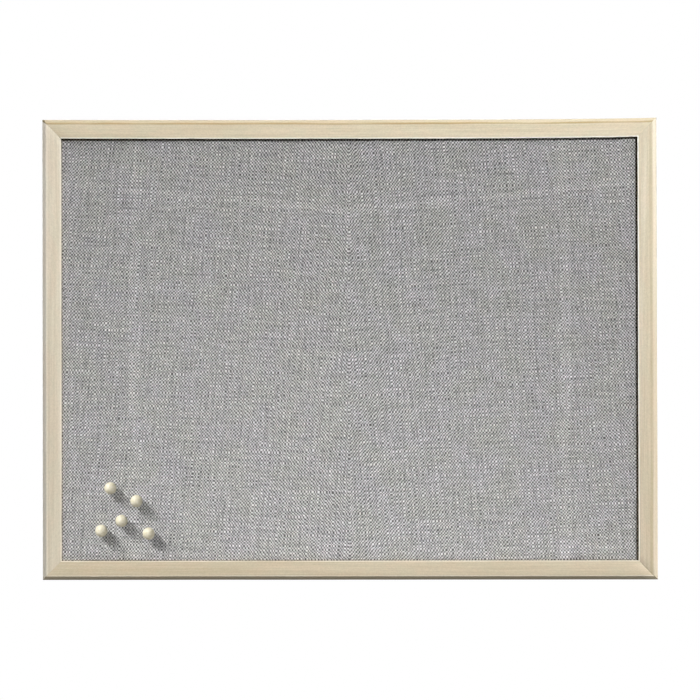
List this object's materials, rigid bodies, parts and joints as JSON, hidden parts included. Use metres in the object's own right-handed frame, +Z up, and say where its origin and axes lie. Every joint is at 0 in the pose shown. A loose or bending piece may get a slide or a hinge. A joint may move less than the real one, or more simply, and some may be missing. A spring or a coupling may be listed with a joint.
{
  "type": "pin board",
  "caption": "Wall pin board: grey woven fabric over a soft core in a mitred pale wood frame, with wooden ball-head pins that pull out and ring hangers on the back.",
  "frame": {"origin": "middle of the plane at the back of the frame, which is the plane of the wall that the board hangs on", "axes": "+X to the right as seen from the front, +Y into the wall, so that the board faces -Y, +Z up"},
  "size_m": [0.4, 0.0227, 0.3],
  "materials": {
    "frame_wood": "pale sanded pine, clear matt lacquer",
    "grey_fabric": "plain-weave linen look, grey and off-white yarns",
    "fibre_core": "soft wood-fibre board",
    "hardboard": "smooth brown hardboard",
    "turned_wood": "turned pale wood, sanded",
    "plain_steel": "bright drawn steel",
    "zinc_steel": "zinc plated steel"
  },
  "bodies": {
    "board": {"frame_top_rail": "frame_wood", "frame_bottom_rail": "frame_wood", "frame_left_stile": "frame_wood", "frame_right_stile": "frame_wood", "v_nail_top_left": "plain_steel", "v_nail_top_right": "plain_steel", "v_nail_bottom_left": "plain_steel", "v_nail_bottom_right": "plain_steel", "pin_core": "fibre_core", "fabric_cover": "grey_fabric", "back_board": "hardboard", "retaining_point_top_rail_1": "plain_steel", "retaining_point_top_rail_2": "plain_steel", "retaining_point_top_rail_3": "plain_steel", "retaining_point_bottom_rail_1": "plain_steel", "retaining_point_bottom_rail_2": "plain_steel", "retaining_point_bottom_rail_3": "plain_steel", "retaining_point_left_stile_1": "plain_steel", "retaining_point_left_stile_2": "plain_steel", "retaining_point_right_stile_1": "plain_steel", "retaining_point_right_stile_2": "plain_steel", "hanger_plate_left": "zinc_steel", "hanger_plate_right": "zinc_steel", "hanger_rivet_left_upper": "zinc_steel", "hanger_rivet_left_lower": "zinc_steel", "hanger_rivet_right_upper": "zinc_steel", "hanger_rivet_right_lower": "zinc_steel"},
    "pin_1": {"pin_head_1": "turned_wood", "pin_needle_1": "plain_steel"},
    "pin_2": {"pin_head_2": "turned_wood", "pin_needle_2": "plain_steel"},
    "pin_3": {"pin_head_3": "turned_wood", "pin_needle_3": "plain_steel"},
    "pin_4": {"pin_head_4": "turned_wood", "pin_needle_4": "plain_steel"},
    "pin_5": {"pin_head_5": "turned_wood", "pin_needle_5": "plain_steel"},
    "ring_left": {"hanger_ring_left": "zinc_steel"},
    "ring_right": {"hanger_ring_right": "zinc_steel"}
  },
  "joints": [
    {"name": "pin_1_pull", "type": "slide", "parent": "board", "child": "pin_1", "axis": [0, -1, 0], "range_m": [0, 0.025]},
    {"name": "pin_2_pull", "type": "slide", "parent": "board", "child": "pin_2", "axis": [0, -1, 0], "range_m": [0, 0.025]},
    {"name": "pin_3_pull", "type": "slide", "parent": "board", "child": "pin_3", "axis": [0, -1, 0], "range_m": [0, 0.025]},
    {"name": "pin_4_pull", "type": "slide", "parent": "board", "child": "pin_4", "axis": [0, -1, 0], "range_m": [0, 0.025]},
    {"name": "pin_5_pull", "type": "slide", "parent": "board", "child": "pin_5", "axis": [0, -1, 0], "range_m": [0, 0.025]},
    {"name": "ring_left_swing", "type": "hinge", "parent": "board", "child": "ring_left", "pos_m": [-0.1, -0.0019, 0.1241], "axis": [1, 0, 0], "range_deg": [0, 180]},
    {"name": "ring_right_swing", "type": "hinge", "parent": "board", "child": "ring_right", "pos_m": [0.1, -0.0019, 0.1241], "axis": [1, 0, 0], "range_deg": [0, 180]}
  ]
}
